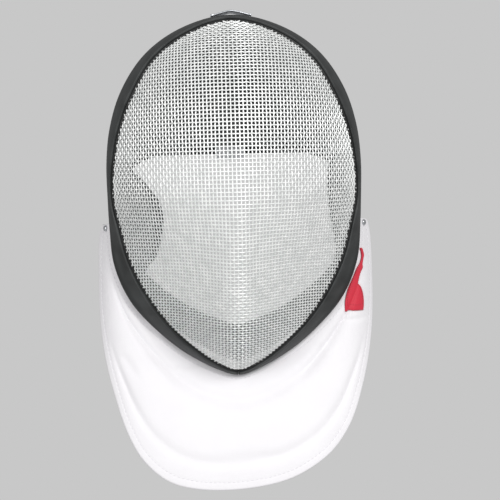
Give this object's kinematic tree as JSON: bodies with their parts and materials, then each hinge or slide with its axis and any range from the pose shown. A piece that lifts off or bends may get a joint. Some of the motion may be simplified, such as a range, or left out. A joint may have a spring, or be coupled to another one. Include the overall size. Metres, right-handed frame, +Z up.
{
  "type": "fencing mask",
  "caption": "Head mask with a ridged bowl of woven wire over the face, a wire crown open at the back, dark moulded trim and a padded bib under the chin.",
  "frame": {"origin": "under the top pad, where the top of the wearer's head rests", "axes": "+Z up, the face looks along -Y, the wearer's left hand is on the +X side"},
  "size_m": [0.236, 0.2429, 0.3995],
  "materials": {
    "wire": "bright drawn wire, woven",
    "trim": "soft satin",
    "binding": "woven tape",
    "lining": "matte padded cloth",
    "chin_cloth": "matte padded cloth",
    "flap_cloth": "matte padded cloth",
    "bib_cloth": "smooth tight weave",
    "label": "satin patch",
    "elastic": "ribbed elastic",
    "rivet": "dark satin",
    "stud": "nickel plated",
    "spring": "satin spring steel",
    "clip": "satin"
  },
  "bodies": {
    "root": {"face_mesh": "wire", "crown_mesh": "wire", "rim_trim": "trim", "back_binding": "binding", "crown_lining": "lining", "chin_pad": "chin_cloth", "ear_flap_left": "flap_cloth", "ear_flap_right": "flap_cloth", "bib": "bib_cloth", "label_patch": "label", "back_strap": "elastic", "strap_rivet_left": "rivet", "strap_rivet_right": "rivet", "bib_stud_left": "stud", "bib_stud_right": "stud", "tongue_spring": "spring", "tongue_clip": "clip", "tongue_pad": "lining"}
  },
  "joints": []
}
